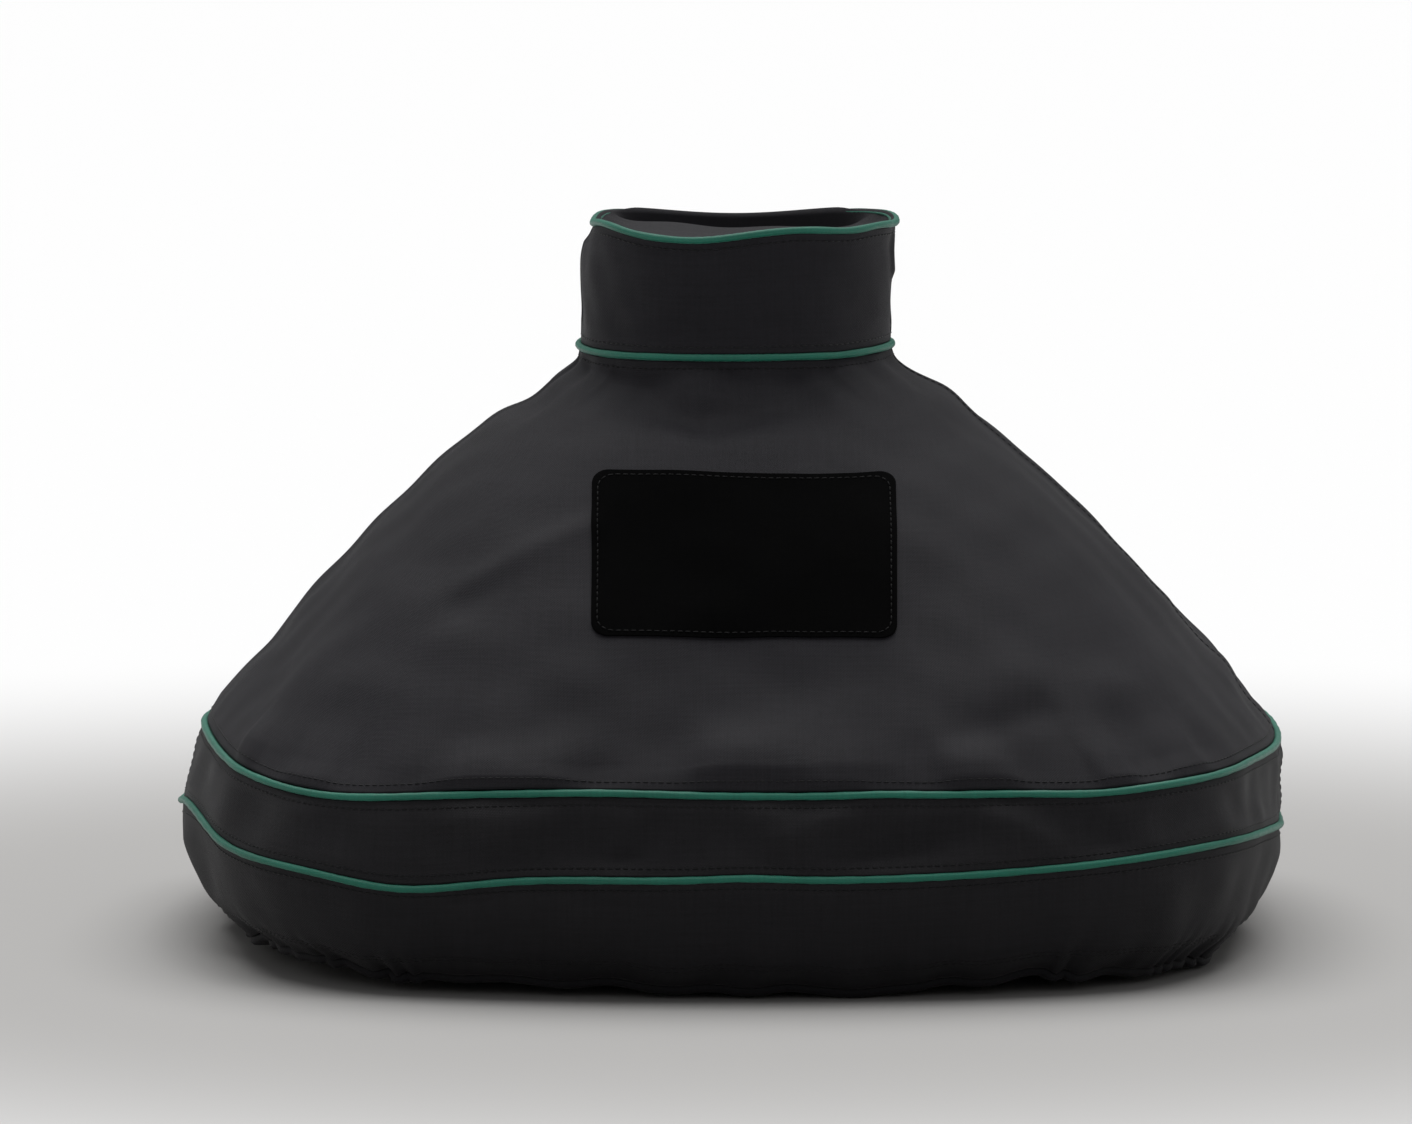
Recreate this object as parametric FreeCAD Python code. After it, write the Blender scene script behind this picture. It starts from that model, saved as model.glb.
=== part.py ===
import FreeCAD, Part
import math
import os

# Cover for the dome of an egg-shaped ceramic grill that stands in a table.
# It is sewn from coated woven polyester. A round collar with a closed top slips over the vent cap, and a
# tent-like dome runs out from it to a rounded square. Below that come a side band and a skirt that an elastic
# hem draws in under the grill's rim. A green piping is sewn into each of the four level seams.
# Origin: centre of the bottom, on the surface that the hem stands on. +Z is up and -Y is the front.
# Lengths are millimetres and angles are degrees.

V = FreeCAD.Vector
UP = V(0, 0, 1)
LARGE = 1000.0

# Heights of the four piped seams.
BAND_BOTTOM_Z = 73.0
BAND_TOP_Z = 120.0
COLLAR_BASE_Z = 351.5
COLLAR_TOP_Z = 427.0

# Plan. The body is a rounded square: four side arcs that each turn by twice SIDE_TURN, joined by corner arcs.
BODY_HALF = 329.0
BODY_CORNER = 0.5 * BODY_HALF
SIDE_TURN = 15.4
BAND_LEAN = 9.0
COLLAR_RADIUS = 91.0

# Dome: height above the band's top seam and half-width of the plan, from the bottom up. Its corner radius
# grows from the band's to a full circle at the collar.
DOME_STATIONS = (
    (2, 319), (14, 311), (36, 293), (71, 263), (106, 231.5),
    (142, 198), (174, 162), (199, 126), (217, 99), (229.5, 91.5),
)

# Skirt: how far it has drawn in at each height, from the bottom up.
SKIRT_STATIONS = ((9, 26.5), (20, 13.5), (38, 4.5), (71, 0.5))

# Cloth and trim.
WALL = 1.6
DOME_WALL = 2.2  # measured level, so that the sloping cloth is about WALL thick
TAPE = 1.0
TAPE_GAP = 0.3
TAPE_WIDTH = 12.0
SIDE_TAPE_HALF = 8.0
PIPING_RADIUS = 2.0
PIPING_CLOTH = 0.5
PIPING_FLANGE = 6.0
PIPING_PROUD = 0.8
FILLER_RADIUS = PIPING_RADIUS - PIPING_CLOTH - 0.1

# Closed top of the collar, sewn at its rim and slack in the middle.
TOP_RIM_WIDTH = 8.0
TOP_SAG = 9.0

# Hem casing, a flat tunnel of folded cloth, and the elastic in it.
HEM_DRAWN_IN = 26.0
HEM_WIDTH = 20.0
HEM_HEIGHT = 7.0
HEM_SLOT = 1.5
ELASTIC_WIDTH = 12.0
ELASTIC_HEIGHT = 2.4

# Blank sewn-on patch at the middle of the dome's front.
PATCH_WIDTH = 177.0
PATCH_LENGTH = 126.0
PATCH_CORNER = 12.0
PATCH_CENTRE = V(5, -208, 249)
PATCH_TILT = 45.0
PATCH_CLOTH = 1.2
PATCH_CUTTER = 80.0  # how tall the block is that cuts the patch out of a layer of cloth


def arcs(half, corner, start=0.0, end=360.0):
    """Arcs of a rounded square between two bearings, each as (centre, radius, first bearing, last bearing).
    Side arcs and corner arcs meet tangentially, so with corner equal to half they make a circle."""
    turn = math.radians(SIDE_TURN)
    inward = (half - corner) / (1 + math.tan(turn / 2))
    side = corner + inward / math.sin(turn)
    found = []
    for quarter in range(-1, 5):
        bearing = 90.0 * quarter
        spin = FreeCAD.Rotation(UP, bearing)
        side_centre = spin.multVec(V(half - side, 0, 0))
        corner_centre = spin.multVec(V(inward, inward, 0))
        found.append((side_centre, side, bearing - SIDE_TURN, bearing + SIDE_TURN))
        found.append((corner_centre, corner, bearing + SIDE_TURN, bearing + 90 - SIDE_TURN))
    clipped = [(c, r, max(first, start), min(last, end)) for c, r, first, last in found]
    return [arc for arc in clipped if arc[3] - arc[2] > 1e-6]


def level_wire(half, corner, height):
    """Closed outline of one level."""
    edges = []
    for centre, radius, first, last in arcs(half, corner):
        circle = Part.Circle(centre + V(0, 0, height), UP, radius)
        edges.append(Part.Arc(circle, math.radians(first), math.radians(last)).toShape())
    return Part.Wire(edges)


def ring(section, half, corner, start=0.0, end=360.0):
    """A section carried round an outline. It is drawn in the XZ plane, with X = 0 on the outline, and is
    revolved about the centre of each arc in turn."""
    pieces = []
    for centre, radius, first, last in arcs(half, corner, start, end):
        piece = section.copy()
        piece.translate(V(radius, 0, 0))
        piece.rotate(V(0, 0, 0), UP, first)
        piece.translate(centre)
        pieces.append(piece.revolve(centre, UP, last - first))
    if len(pieces) == 1:
        return pieces[0]
    return pieces[0].multiFuse(pieces[1:]).removeSplitter()


def polygon(points):
    """Flat face in the XZ plane from (x, z) corners."""
    corners = [V(x, 0, z) for x, z in points]
    return Part.Face(Part.makePolygon(corners + corners[:1]))


def rectangle(x_low, x_high, z_low, z_high):
    return polygon([(x_low, z_low), (x_high, z_low), (x_high, z_high), (x_low, z_high)])


def disc(x, z, radius):
    return Part.Face(Part.Wire(Part.Circle(V(x, 0, z), V(0, -1, 0), radius).toShape()))


def curve(points):
    spline = Part.BSplineCurve()
    spline.interpolate([V(x, 0, z) for x, z in points])
    return spline.toShape()


def cloth_section(points, thickness=WALL):
    """Face between a smooth curve through the outer points, given from the bottom up, and its inner copy."""
    inner = []
    for i, (x, z) in enumerate(points):
        before = points[max(i - 1, 0)]
        after = points[min(i + 1, len(points) - 1)]
        along = V(after[0] - before[0], 0, after[1] - before[1]).normalize()
        inner.append((x - along.z * thickness, z + along.x * thickness))
    edges = [curve(points), curve(inner)]
    for end in (0, -1):
        outer_x, outer_z = points[end]
        inner_x, inner_z = inner[end]
        edges.append(Part.makeLine(V(outer_x, 0, outer_z), V(inner_x, 0, inner_z)))
    return Part.Face(Part.Wire(Part.__sortEdges__(edges)))


def halves(section, half, corner):
    """The front and the back panel of a level, which meet at the side seams."""
    return {"front": ring(section, half, corner, 180, 360), "back": ring(section, half, corner, 0, 180)}


def piping_section(x, z):
    """Strip of cloth folded round the filler, with its two plies running inwards to the seam."""
    outer, inner = PIPING_RADIUS, PIPING_RADIUS - PIPING_CLOTH
    slit = 0.2
    ply = slit + PIPING_CLOTH
    reach = -PIPING_RADIUS - PIPING_FLANGE
    sleeve = disc(0, 0, outer).fuse(rectangle(reach, 0, -ply, ply))
    hollow = disc(0, 0, inner).fuse(rectangle(reach, 0, -slit, slit))
    section = sleeve.cut(hollow).removeSplitter()
    section.translate(V(x, 0, z))
    return section.Faces[0]


def dome_solid(inset):
    """Filled dome, drawn in level by inset all over."""
    low, high = DOME_STATIONS[0][0], DOME_STATIONS[-1][0]
    first_share = (BODY_CORNER - BAND_LEAN) / (BODY_HALF - BAND_LEAN)
    wires = []
    for height, half in DOME_STATIONS:
        share = first_share + (1 - first_share) * (height - low) / (high - low)
        wires.append(level_wire(half - inset, half * share - inset, BAND_TOP_Z + height))
    return Part.makeLoft(wires, True, False)


def dome_layer(outer_inset, inner_inset):
    return dome_solid(outer_inset).cut(dome_solid(inner_inset))


def block(x_low, x_high, y_low, y_high):
    return Part.makeBox(x_high - x_low, y_high - y_low, LARGE, V(x_low, y_low, -LARGE / 4))


def top_section(rim_z):
    """Half section of the closed top: a level rim, then a shallow part of a ball down to the axis."""
    bend = COLLAR_RADIUS - TOP_RIM_WIDTH
    ball = (bend**2 + TOP_SAG**2) / (2 * TOP_SAG)
    rise = ball - math.sqrt(ball**2 - bend**2 / 4)
    edges = []
    for z in (rim_z, rim_z + WALL):
        edges.append(Part.makeLine(V(COLLAR_RADIUS, 0, z), V(bend, 0, z)))
        halfway = V(bend / 2, 0, z - TOP_SAG + rise)
        edges.append(Part.Arc(V(bend, 0, z), halfway, V(0, 0, z - TOP_SAG)).toShape())
    for x, z in ((COLLAR_RADIUS, rim_z), (0, rim_z - TOP_SAG)):
        edges.append(Part.makeLine(V(x, 0, z), V(x, 0, z + WALL)))
    return Part.Face(Part.Wire(Part.__sortEdges__(edges)))


def make_collar():
    """Two half cylinders, the closed top, and the tapes inside."""
    low, high = COLLAR_BASE_Z + PIPING_RADIUS, COLLAR_TOP_Z - PIPING_RADIUS
    wall = rectangle(-WALL, 0, low, high)
    panels = halves(wall, COLLAR_RADIUS, COLLAR_RADIUS)
    rim_z = COLLAR_TOP_Z + PIPING_RADIUS
    shapes = {"collar_front": panels["front"], "collar_back": panels["back"]}
    shapes["collar_top_disc"] = top_section(rim_z).revolve(V(0, 0, 0), UP, 360)
    face_in = -WALL - TAPE_GAP
    base_tape = rectangle(face_in - TAPE, face_in, low, low + TAPE_WIDTH)
    top_tape = rectangle(face_in - TAPE, face_in, high - TAPE_WIDTH, high)
    shapes["collar_base_seam_tape"] = ring(base_tape, COLLAR_RADIUS, COLLAR_RADIUS)
    shapes["collar_top_seam_tape"] = ring(top_tape, COLLAR_RADIUS, COLLAR_RADIUS)
    between = rectangle(face_in - TAPE, face_in, low + TAPE_WIDTH, high - TAPE_WIDTH)
    shapes.update(side_tapes("collar", between, COLLAR_RADIUS, COLLAR_RADIUS))
    return shapes


def side_tapes(level, section, half, corner):
    """The binding tapes over a level's two side seams, on the inside."""
    side_radius = arcs(half, corner)[0][1]
    reach = math.degrees(SIDE_TAPE_HALF / side_radius)
    right = ring(section, half, corner, -reach, reach)
    left = ring(section, half, corner, 180 - reach, 180 + reach)
    return {level + "_side_tape_right": right, level + "_side_tape_left": left}


def make_dome():
    """Front and back panels, and the tapes over the two side seams between them."""
    cloth = dome_layer(0, DOME_WALL)
    tape_gap = DOME_WALL + TAPE_GAP
    tape = dome_layer(tape_gap, tape_gap + TAPE)
    wide, narrow = LARGE, SIDE_TAPE_HALF
    return {
        "dome_front": cloth.common(block(-wide, wide, -wide, 0)),
        "dome_back": cloth.common(block(-wide, wide, 0, wide)),
        "dome_side_tape_right": tape.common(block(0, wide, -narrow, narrow)),
        "dome_side_tape_left": tape.common(block(-wide, 0, -narrow, narrow)),
    }


def make_patch():
    """Blank rectangle with rounded corners, lying on the slope of the dome's front."""
    corner = V(-PATCH_WIDTH / 2, -PATCH_LENGTH / 2, -PATCH_CUTTER / 2)
    prism = Part.makeBox(PATCH_WIDTH, PATCH_LENGTH, PATCH_CUTTER, corner)
    upright = [edge for edge in prism.Edges if abs(edge.tangentAt(edge.FirstParameter).z) > 0.5]
    prism = prism.makeFillet(PATCH_CORNER, upright)
    prism.rotate(V(0, 0, 0), V(1, 0, 0), PATCH_TILT)
    prism.translate(PATCH_CENTRE)
    return {"front_patch": dome_layer(-TAPE_GAP - PATCH_CLOTH, -TAPE_GAP).common(prism)}


def make_band():
    """Two panels between the two lower pipings, leaning in a little towards the top."""
    low, high = BAND_BOTTOM_Z + PIPING_RADIUS, BAND_TOP_Z - PIPING_RADIUS
    lean = BAND_LEAN / (BAND_TOP_Z - BAND_BOTTOM_Z)

    def layer(outer, thickness, z_low, z_high):
        out_low = outer - (z_low - BAND_BOTTOM_Z) * lean
        out_high = outer - (z_high - BAND_BOTTOM_Z) * lean
        inner_side = [(out_high - thickness, z_high), (out_low - thickness, z_low)]
        return polygon([(out_low, z_low), (out_high, z_high)] + inner_side)

    panels = halves(layer(0, WALL, low, high), BODY_HALF, BODY_CORNER)
    shapes = {"side_band_front": panels["front"], "side_band_back": panels["back"]}
    face_in = -WALL - TAPE_GAP
    top_tape = layer(face_in, TAPE, high - TAPE_WIDTH, high)
    bottom_tape = layer(face_in, TAPE, low, low + TAPE_WIDTH)
    shapes["band_top_seam_tape"] = ring(top_tape, BODY_HALF, BODY_CORNER)
    shapes["band_bottom_seam_tape"] = ring(bottom_tape, BODY_HALF, BODY_CORNER)
    between = layer(face_in, TAPE, low + TAPE_WIDTH, high - TAPE_WIDTH)
    shapes.update(side_tapes("band", between, BODY_HALF, BODY_CORNER))
    return shapes


def make_skirt():
    """Two panels that curve in under the rim, and the tapes over their side seams."""
    outside = [(-drawn_in, height) for height, drawn_in in SKIRT_STATIONS]
    panels = halves(cloth_section(outside), BODY_HALF, BODY_CORNER)
    inside = [(x - WALL - TAPE_GAP, z + TAPE_GAP) for x, z in outside]
    shapes = {"skirt_front": panels["front"], "skirt_back": panels["back"]}
    shapes.update(side_tapes("skirt", cloth_section(inside[1:], TAPE), BODY_HALF, BODY_CORNER))
    return shapes


def make_hem():
    """Casing folded back on itself, open along a slot at its edge, and the elastic that runs in it."""
    out, into = -HEM_DRAWN_IN, -HEM_DRAWN_IN - HEM_WIDTH
    tunnel_out, tunnel_in = out - WALL, into + WALL
    slot_in = tunnel_out - HEM_SLOT
    tunnel_top = HEM_HEIGHT - WALL
    casing = polygon([
        (out, 0), (into, 0), (into, HEM_HEIGHT), (slot_in, HEM_HEIGHT), (slot_in, tunnel_top),
        (tunnel_in, tunnel_top), (tunnel_in, WALL), (tunnel_out, WALL), (tunnel_out, HEM_HEIGHT),
        (out, HEM_HEIGHT),
    ])
    elastic_in = (out + into - ELASTIC_WIDTH) / 2
    elastic_low = (HEM_HEIGHT - ELASTIC_HEIGHT) / 2
    elastic = rectangle(elastic_in, elastic_in + ELASTIC_WIDTH, elastic_low, elastic_low + ELASTIC_HEIGHT)
    return {
        "hem_casing": ring(casing, BODY_HALF, BODY_CORNER),
        "hem_elastic": ring(elastic, BODY_HALF, BODY_CORNER),
    }


def make_pipings():
    """For each level seam, the folded green strip and the filler cord that it holds all the way round."""
    seams = {
        "collar_top": (COLLAR_RADIUS, COLLAR_RADIUS, 0.0, COLLAR_TOP_Z),
        "collar_base": (COLLAR_RADIUS, COLLAR_RADIUS, 0.0, COLLAR_BASE_Z),
        "band_top": (BODY_HALF, BODY_CORNER, -BAND_LEAN, BAND_TOP_Z),
        "band_bottom": (BODY_HALF, BODY_CORNER, 0.0, BAND_BOTTOM_Z),
    }
    shapes = {}
    for seam, (half, corner, offset, height) in seams.items():
        x = offset + PIPING_PROUD
        shapes[seam + "_piping"] = ring(piping_section(x, height), half, corner)
        shapes[seam + "_piping_filler"] = ring(disc(x, height, FILLER_RADIUS), half, corner)
    return shapes


os.makedirs("parts", exist_ok=True)
for make in (make_collar, make_dome, make_patch, make_band, make_skirt, make_hem, make_pipings):
    for node, shape in make().items():
        solids = shape.Solids
        if len(solids) != 1 or not shape.isValid():
            raise ValueError(f"{node}: {len(solids)} solids, valid {shape.isValid()}")
        solids[0].exportStep(f"parts/{node}.step")
        print(f"{node}: {shape.Volume / 1000:.1f} cm3")
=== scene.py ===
import math

import bmesh
import bpy
import numpy as np
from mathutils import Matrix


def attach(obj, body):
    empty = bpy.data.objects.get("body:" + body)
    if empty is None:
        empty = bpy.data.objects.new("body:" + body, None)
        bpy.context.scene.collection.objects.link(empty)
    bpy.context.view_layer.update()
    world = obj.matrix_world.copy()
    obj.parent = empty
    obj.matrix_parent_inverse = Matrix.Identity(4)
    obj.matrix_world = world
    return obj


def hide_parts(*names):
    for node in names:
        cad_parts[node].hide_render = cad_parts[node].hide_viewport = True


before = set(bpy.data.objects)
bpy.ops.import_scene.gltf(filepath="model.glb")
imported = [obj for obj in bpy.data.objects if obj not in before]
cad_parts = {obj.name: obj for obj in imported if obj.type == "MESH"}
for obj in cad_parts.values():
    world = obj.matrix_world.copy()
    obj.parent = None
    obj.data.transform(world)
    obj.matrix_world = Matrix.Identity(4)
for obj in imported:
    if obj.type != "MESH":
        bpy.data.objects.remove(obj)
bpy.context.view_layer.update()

# --------------------------------------------------------------------------------------------------
# Dome panels, front and back.
# Coated black polyester, cut as two wide gores and joined at the left and right side seams. They are pulled
# over the grill's lid, so the cloth runs straight from the collar and goes slack above the band.

# Heights of the seams, the collar's radius, and half the body's width at its widest.
HEM_Z, BAND_BOTTOM_Z, BAND_TOP_Z, COLLAR_BASE_Z, COLLAR_TOP_Z = 0.0, 0.073, 0.120, 0.3515, 0.427
COLLAR_RADIUS, BODY_HALF = 0.091, 0.329
# Half the turn of each side arc of the outline, the cloth's thickness, and half the space that a piping takes
# between two panels. The front runs from the left to the right, as bearings from the right anticlockwise.
SIDE_TURN, CLOTH, SEAM_GAP = math.radians(15.4), 0.0012, 0.002
FRONT, BACK = (math.pi, 2 * math.pi), (0.0, math.pi)

# Height, half-width and corner radius of the plan, from the hem up.
LEVELS = np.array([
    (0.000, 0.292, 0.1275), (0.009, 0.3025, 0.138), (0.020, 0.3155, 0.151), (0.038, 0.3245, 0.160),
    (0.073, 0.329, 0.1645), (0.096, 0.3246, 0.1601), (0.120, 0.320, 0.1555), (0.134, 0.311, 0.1560),
    (0.156, 0.293, 0.1545), (0.191, 0.263, 0.150), (0.226, 0.2315, 0.1445), (0.262, 0.198, 0.136),
    (0.294, 0.162, 0.121), (0.319, 0.128, 0.106), (0.330, 0.1115, 0.0985), (0.341, 0.0945, 0.0900),
    (0.3495, 0.0912, 0.0905),
    (0.360, 0.091, 0.091), (0.395, 0.091, 0.091), (0.430, 0.091, 0.091),
])
SEAMS = {"hem": HEM_Z, "band_bottom": BAND_BOTTOM_Z, "band_top": BAND_TOP_Z, "collar_base": COLLAR_BASE_Z,
         "collar_top": COLLAR_TOP_Z}
# How each seam wanders: (place, spread in degrees, millimetres). A seam rides up or down, and in or out. The
# place is the bearing on the round collar, and on the body the share of the way round, as of a full turn.
RIDE_UP = {
    "hem": [(213, 17, 13), (240, 13, 8), (266, 20, 3), (300, 11, 7), (318, 12, 2), (345, 14, 6),
            (38, 14, 5), (62, 12, 3), (131, 14, 7)],
    "band_bottom": [(198, 16, 15.5), (238.5, 8.5, -8), (271, 5, 1.6), (320, 22, 9.5), (0, 14, -7),
                    (60, 30, 4), (130, 24, -4)],
    "band_top": [(192, 20, 9), (229.5, 11, -5), (257, 9, 1.8), (272, 26, 0.9), (284, 4, 0.8), (305, 6, -1.6),
                 (330, 12, 2), (357, 14, -2.5), (70, 22, 3), (140, 24, -3)],
    "collar_base": [(208, 35, -1.6), (312, 15, -0.7), (90, 40, -1.5)],
    "collar_top": [(253, 25, -6.4), (231, 13, -1.3), (317, 16, -2.6), (352, 16, -2.4), (180, 16, -3.4),
                   (90, 44, -8.8)],
}
PUSH_OUT = {
    "hem": [(180, 30, -3), (0, 28, -5), (225, 12, -4), (315, 12, -3), (45, 12, -4), (135, 12, -4)],
    "band_bottom": [(180, 24, 0.5), (0, 24, -4.5), (225, 10, 1), (90, 40, -2)],
    "band_top": [(180, 24, -4.5), (0, 24, 3.2), (135, 12, -2)],
    "collar_base": [(180, 30, 1.2), (0, 30, 1.5)],
    "collar_top": [(180, 40, -7.5), (0, 40, 4.0), (90, 50, -2), (225, 16, 2)],
}
# Soft folds: start and end as (x, y, z), half-width and depth in metres. A negative depth is a valley.
FOLDS = [
    ((-0.084, -0.185, 0.262), (-0.155, -0.19, 0.227), 0.011, 0.0030),
    ((-0.105, -0.185, 0.250), (-0.175, -0.20, 0.205), 0.014, -0.0022),
    ((-0.26, -0.16, 0.170), (-0.13, -0.27, 0.150), 0.020, 0.0022),
    ((-0.23, -0.10, 0.240), (-0.17, -0.22, 0.200), 0.020, 0.0020),
    ((0.096, -0.288, 0.134), (0.178, -0.255, 0.160), 0.012, -0.0036),
    ((0.15, -0.25, 0.182), (0.24, -0.20, 0.160), 0.018, 0.0022),
    ((0.24, -0.03, 0.210), (0.14, -0.22, 0.200), 0.022, 0.0020),
    ((0.20, -0.02, 0.250), (0.11, -0.19, 0.232), 0.018, -0.0018),
    ((0.03, -0.28, 0.168), (0.11, -0.25, 0.190), 0.022, -0.0012),
    ((-0.065, -0.070, 0.343), (-0.014, -0.137, 0.310), 0.010, -0.0020),
    ((0.068, -0.068, 0.343), (-0.014, -0.137, 0.310), 0.010, -0.0016),
    ((-0.24, 0.10, 0.215), (-0.10, 0.25, 0.180), 0.020, 0.0034),
    ((-0.27, 0.13, 0.170), (-0.14, 0.28, 0.140), 0.014, -0.0034),
    ((0.25, 0.08, 0.215), (0.12, 0.24, 0.190), 0.018, -0.0032),
    ((0.27, 0.14, 0.165), (0.15, 0.28, 0.140), 0.014, 0.0034),
    ((0.02, 0.24, 0.215), (0.08, 0.29, 0.150), 0.022, 0.0028),
    ((-0.07, 0.22, 0.230), (-0.02, 0.29, 0.150), 0.018, -0.0024),
    ((0.29, -0.06, 0.150), (0.27, 0.12, 0.168), 0.014, 0.0026),
    ((-0.29, 0.08, 0.150), (-0.26, -0.06, 0.178), 0.014, -0.0026),
    ((-0.125, -0.05, 0.322), (-0.125, 0.05, 0.322), 0.016, -0.0045),
    ((0.125, -0.05, 0.322), (0.125, 0.05, 0.322), 0.016, 0.0035),
    ((0.31, -0.06, 0.140), (0.31, 0.06, 0.140), 0.018, -0.0028),
    ((-0.146, -0.309, 0.097), (-0.103, -0.317, 0.110), 0.010, 0.0036),
    ((-0.067, -0.325, 0.080), (-0.041, -0.325, 0.110), 0.009, -0.0040),
    ((0.021, -0.325, 0.095), (0.064, -0.322, 0.111), 0.010, 0.0036),
    ((0.074, -0.325, 0.082), (0.131, -0.314, 0.101), 0.010, -0.0036),
    ((-0.215, -0.265, 0.092), (-0.150, -0.300, 0.104), 0.009, 0.0032),
    ((-0.20, -0.27, 0.108), (-0.12, -0.30, 0.112), 0.007, -0.0026),
    ((0.145, -0.312, 0.111), (0.183, -0.300, 0.092), 0.009, 0.0034),
    ((0.215, -0.255, 0.110), (0.255, -0.225, 0.088), 0.010, -0.0028),
    ((-0.10, 0.325, 0.112), (-0.06, 0.325, 0.082), 0.010, -0.0022),
    ((-0.02, -0.325, 0.060), (-0.035, -0.318, 0.028), 0.012, -0.0020),
    ((0.150, -0.295, 0.062), (0.135, -0.300, 0.026), 0.012, 0.0020),
    ((-0.155, -0.290, 0.058), (-0.175, -0.275, 0.028), 0.010, -0.0018),
    ((0.09, 0.320, 0.060), (0.11, 0.315, 0.024), 0.014, -0.0024),
]
# Places along the band's top seam where slack cloth bags over it: bearing and half-width in degrees, then
# depth and the height of the underside in metres.
SLACK = [(258.8, 3.4, 0.0060, 0.007), (270.6, 3.0, 0.0078, 0.013), (274.6, 1.6, 0.0030, 0.007),
         (281.9, 1.9, 0.0046, 0.008), (301, 5, 0.0035, 0.007), (322, 7, 0.003, 0.007), (226, 7, 0.003, 0.007),
         (202, 5, 0.003, 0.007), (20, 6, 0.004, 0.007), (47, 8, 0.004, 0.007), (82, 2.2, 0.006, 0.009),
         (93, 1.8, 0.004, 0.007), (100, 2.0, 0.006, 0.010), (131, 8, 0.004, 0.007), (158, 6, 0.004, 0.007)]
# The elastic's gathers die away at this height.
GATHERED_HIGH = 0.034
# The cloth lies on the table at this height, just clear of it.
LOWEST_CLOTH = 0.0006


def smooth_level(height, column):
    """A column of LEVELS at any height: cubic pieces, the slope at a level being its neighbours' mean."""
    known, value = LEVELS[:, 0], LEVELS[:, column]
    slope = np.gradient(value, known)
    i = np.clip(np.searchsorted(known, height) - 1, 0, len(known) - 2)
    step = known[i + 1] - known[i]
    t = np.clip((height - known[i]) / step, 0, 1)
    start = (1 + 2 * t) * (1 - t) ** 2 * value[i] + t * (1 - t) ** 2 * step * slope[i]
    return start + t**2 * (3 - 2 * t) * value[i + 1] + t**2 * (t - 1) * step * slope[i + 1]


def outline(half, corner, bearing):
    """Rounded square of four side arcs and four corner arcs that meet tangentially. A point is found by the
    bearing of its outward normal: the arc's centre plus the arc's radius along that bearing."""
    inward = (half - corner) / (1 + math.tan(SIDE_TURN / 2))
    side = corner + inward / math.sin(SIDE_TURN)
    quarter = math.pi / 2
    nearest = np.round(bearing / quarter) * quarter
    on_side = np.abs(bearing - nearest) <= SIDE_TURN
    diagonal = (np.floor(bearing / quarter) + 0.5) * quarter
    reach = np.where(on_side, half - side, inward * math.sqrt(2))
    toward = np.where(on_side, nearest, diagonal)
    radius = np.where(on_side, side, corner)
    x = reach * np.cos(toward) + radius * np.cos(bearing)
    y = reach * np.sin(toward) + radius * np.sin(bearing)
    return x, y


def place_round(bearing, seam):
    """Degrees of even going round a seam. On the collar it is the bearing. On the body each quarter turn is a
    side arc and a corner arc, which take shares of it that go with their lengths."""
    turned = np.degrees(bearing)
    if seam.startswith("collar"):
        return turned
    inward = 0.5 * BODY_HALF / (1 + math.tan(SIDE_TURN / 2))
    side_length = (0.5 * BODY_HALF + inward / math.sin(SIDE_TURN)) * SIDE_TURN
    corner_length = 0.5 * BODY_HALF * (math.pi / 4 - SIDE_TURN)
    side_share = 45 * side_length / (side_length + corner_length)
    nearest = np.round(turned / 90) * 90
    away = np.abs(turned - nearest)
    even = np.interp(away, [0, math.degrees(SIDE_TURN), 45], [0, side_share, 45])
    return nearest + np.sign(turned - nearest) * even


def away_from(place, middle):
    """Degrees from one place to another, the shorter way round."""
    return (place - middle + 180) % 360 - 180


def bell(away, spread, power=2):
    """Bell curve of a distance: 1 at none, and 1/e at the spread. A higher power makes its top flatter."""
    return np.exp(-((away / spread) ** power))


def bumps(place, rows):
    """Sum of bell curves round a seam, in metres, wrapped at the full turn."""
    total = 0.0
    for middle, spread, height in rows:
        total = total + 0.001 * height * bell(away_from(place, middle), spread)
    return total


def between_seams(bearing, height, rows_by_seam):
    """A seam's wandering, blended straight from each seam to the next."""
    names = list(SEAMS)
    total = 0.0
    for i, name in enumerate(names):
        z = SEAMS[name]
        below = z - SEAMS[names[i - 1]] if i else 1.0
        above = SEAMS[names[i + 1]] - z if i + 1 < len(names) else 1.0
        weight = np.where(height < z, 1 + (height - z) / below, 1 - (height - z) / above)
        total = total + np.clip(weight, 0, 1) * bumps(place_round(bearing, name), rows_by_seam[name])
    return total


def swell(point, wavelength, seed, waves=14):
    """Smooth uneven field, about -2 to 2: the sum of plane waves of about one length in seeded directions."""
    draw = np.random.default_rng(seed)
    total = 0.0
    for _ in range(waves):
        way = draw.normal(size=3)
        way *= 2 * math.pi / wavelength * draw.uniform(0.7, 1.4) / np.linalg.norm(way)
        along = point[0] * way[0] + point[1] * way[1] + point[2] * way[2]
        total = total + np.cos(along + draw.uniform(0, 6.28))
    return total / math.sqrt(waves / 2)


def soft_folds(point):
    """Ridges and valleys: each is a bell curve of the distance from a short line, fading towards its ends."""
    total = 0.0
    for start, end, width, depth in FOLDS:
        start, end = np.array(start), np.array(end)
        way = end - start
        rel = [point[k] - start[k] for k in range(3)]
        along = sum(rel[k] * way[k] for k in range(3)) / (way @ way)
        nearest = np.clip(along, 0, 1)
        far = sum((rel[k] - nearest * way[k]) ** 2 for k in range(3))
        fade = bell(np.maximum(np.abs(along - 0.5) - 0.3, 0), 0.35)
        total = total + depth * np.exp(-far / width**2) * fade
    return total


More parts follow.
